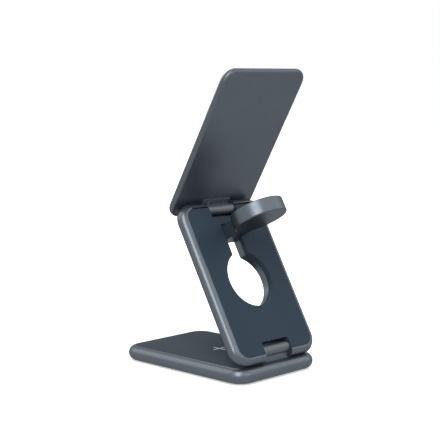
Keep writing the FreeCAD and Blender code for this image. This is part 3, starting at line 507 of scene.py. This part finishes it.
# coils: flat spirals of round wire in place of the plain rings
coilSettings = {
    "stepsPerTurn": 40, "wireSides": 8,
    "spacing": 1.06,         # wire diameters from turn to turn
    "fullness": 0.98,        # of the wire's room, so that it stays inside the ring
    "colour": (0.62, 0.27, 0.13), "patchColour": (0.44, 0.17, 0.08), "patchScale": 500,
    "roughness": (0.2, 0.32),
    "coils": [  # name, node, body, layers
        ("baseCoilTurns", "base_coil", "base", 1),
        ("watchCoilTurns", "watch_coil", "watch", 2),
        ("phoneCoilTurns", "phone_coil", "phone", 1),
    ],
}


def spiralTree():
    tree, source = startTree("coilTree", {
        "Inner Radius": "Float", "Outer Radius": "Float", "Wire": "Float", "Spacing": "Float",
        "Fullness": "Float", "Layers": "Int", "Steps": "Int", "Sides": "Int", "Material": "Material",
    })
    sizes = source.outputs
    half = maths(tree, "MULTIPLY", sizes["Wire"], 0.5)
    first = maths(tree, "ADD", sizes["Inner Radius"], half)
    last = maths(tree, "SUBTRACT", sizes["Outer Radius"], half)
    pitch = maths(tree, "MULTIPLY", sizes["Wire"], sizes["Spacing"])
    spiral = tree.nodes.new("GeometryNodeCurveSpiral")
    join(tree, sizes["Steps"], spiral, "Resolution")
    join(tree, maths(tree, "DIVIDE", maths(tree, "SUBTRACT", last, first), pitch), spiral, "Rotations")
    join(tree, first, spiral, "Start Radius")
    join(tree, last, spiral, "End Radius")
    spiral.inputs["Height"].default_value = 0
    circle = tree.nodes.new("GeometryNodeCurvePrimitiveCircle")
    join(tree, sizes["Sides"], circle, "Resolution")
    join(tree, maths(tree, "MULTIPLY", half, sizes["Fullness"]), circle, "Radius")
    wire = tree.nodes.new("GeometryNodeCurveToMesh")
    join(tree, spiral.outputs[0], wire, "Curve")
    join(tree, circle.outputs[0], wire, "Profile Curve")
    wire.inputs["Fill Caps"].default_value = True
    steps = maths(tree, "SUBTRACT", sizes["Layers"], 1)
    low = maths(tree, "MULTIPLY", steps, maths(tree, "MULTIPLY", half, -1))
    layers = tree.nodes.new("GeometryNodeMeshLine")
    join(tree, sizes["Layers"], layers, "Count")
    join(tree, vector(tree, Z=low), layers, "Start Location")
    join(tree, vector(tree, Z=sizes["Wire"]), layers, "Offset")
    stack = tree.nodes.new("GeometryNodeInstanceOnPoints")
    join(tree, layers.outputs[0], stack, "Points")
    join(tree, wire.outputs[0], stack, "Instance")
    endTree(tree, source, stack.outputs[0])
    return tree


def makeCoils(settings):
    tree = spiralTree()
    for name, node, body, layers in settings["coils"]:
        place, inner, outer, thickness = ringOf(node)
        piece = grow(name, tree, {
            "Inner Radius": inner, "Outer Radius": outer, "Wire": thickness / layers, "Layers": layers,
            "Spacing": settings["spacing"], "Fullness": settings["fullness"],
            "Steps": settings["stepsPerTurn"], "Sides": settings["wireSides"],
            "Material": shinyMetal(name + "Finish", settings),
        }, place)
        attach(piece, body)
        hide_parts(node)


makeCoils(coilSettings)
print("coil turns made")


# the gold contacts on both faces of the socket's tongue
contactSettings = {
    "name": "usbContacts", "count": 12, "pitch": 0.0005, "width": 0.00027, "thickness": 0.00003,
    "length": 0.0034,
    "frontGap": 0.0006,      # from the tongue's tip to the strips
    "colour": (0.72, 0.48, 0.16), "patchColour": (0.66, 0.43, 0.14), "patchScale": 800,
    "roughness": (0.15, 0.25),
}


def contactTree():
    tree, source = startTree("contactTree", {
        "Count": "Int", "Pitch": "Float", "Length": "Float", "Width": "Float", "Thickness": "Float",
        "Tongue": "Float", "Material": "Material",
    })
    sizes = source.outputs
    strip = tree.nodes.new("GeometryNodeMeshCube")
    join(tree, vector(tree, X=sizes["Length"], Y=sizes["Width"], Z=sizes["Thickness"]), strip, "Size")
    steps = maths(tree, "SUBTRACT", sizes["Count"], 1)
    reach = maths(tree, "MULTIPLY", steps, maths(tree, "MULTIPLY", sizes["Pitch"], -0.5))
    away = maths(tree, "MULTIPLY", sizes["Tongue"], 0.5)
    both = tree.nodes.new("GeometryNodeJoinGeometry")
    for side in (1, -1):
        row = tree.nodes.new("GeometryNodeMeshLine")
        join(tree, sizes["Count"], row, "Count")
        join(tree, vector(tree, Y=reach, Z=maths(tree, "MULTIPLY", away, side)), row, "Start Location")
        join(tree, vector(tree, Y=sizes["Pitch"]), row, "Offset")
        laid = tree.nodes.new("GeometryNodeInstanceOnPoints")
        join(tree, row.outputs[0], laid, "Points")
        join(tree, strip.outputs[0], laid, "Instance")
        join(tree, laid.outputs[0], both, "Geometry")
    endTree(tree, source, both.outputs[0])
    return tree


def makeContacts(settings):
    low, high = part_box("usb_socket_tongue")
    middle = (low + high) / 2
    x = low.x + settings["frontGap"] + settings["length"] / 2
    piece = grow(settings["name"], contactTree(), {
        "Count": settings["count"], "Pitch": settings["pitch"], "Length": settings["length"],
        "Width": settings["width"], "Thickness": settings["thickness"], "Tongue": high.z - low.z,
        "Material": shinyMetal("goldFinish", settings),
    }, Matrix.Translation((x, middle.y, middle.z)))
    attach(piece, "base")


makeContacts(contactSettings)
print("socket contacts made")
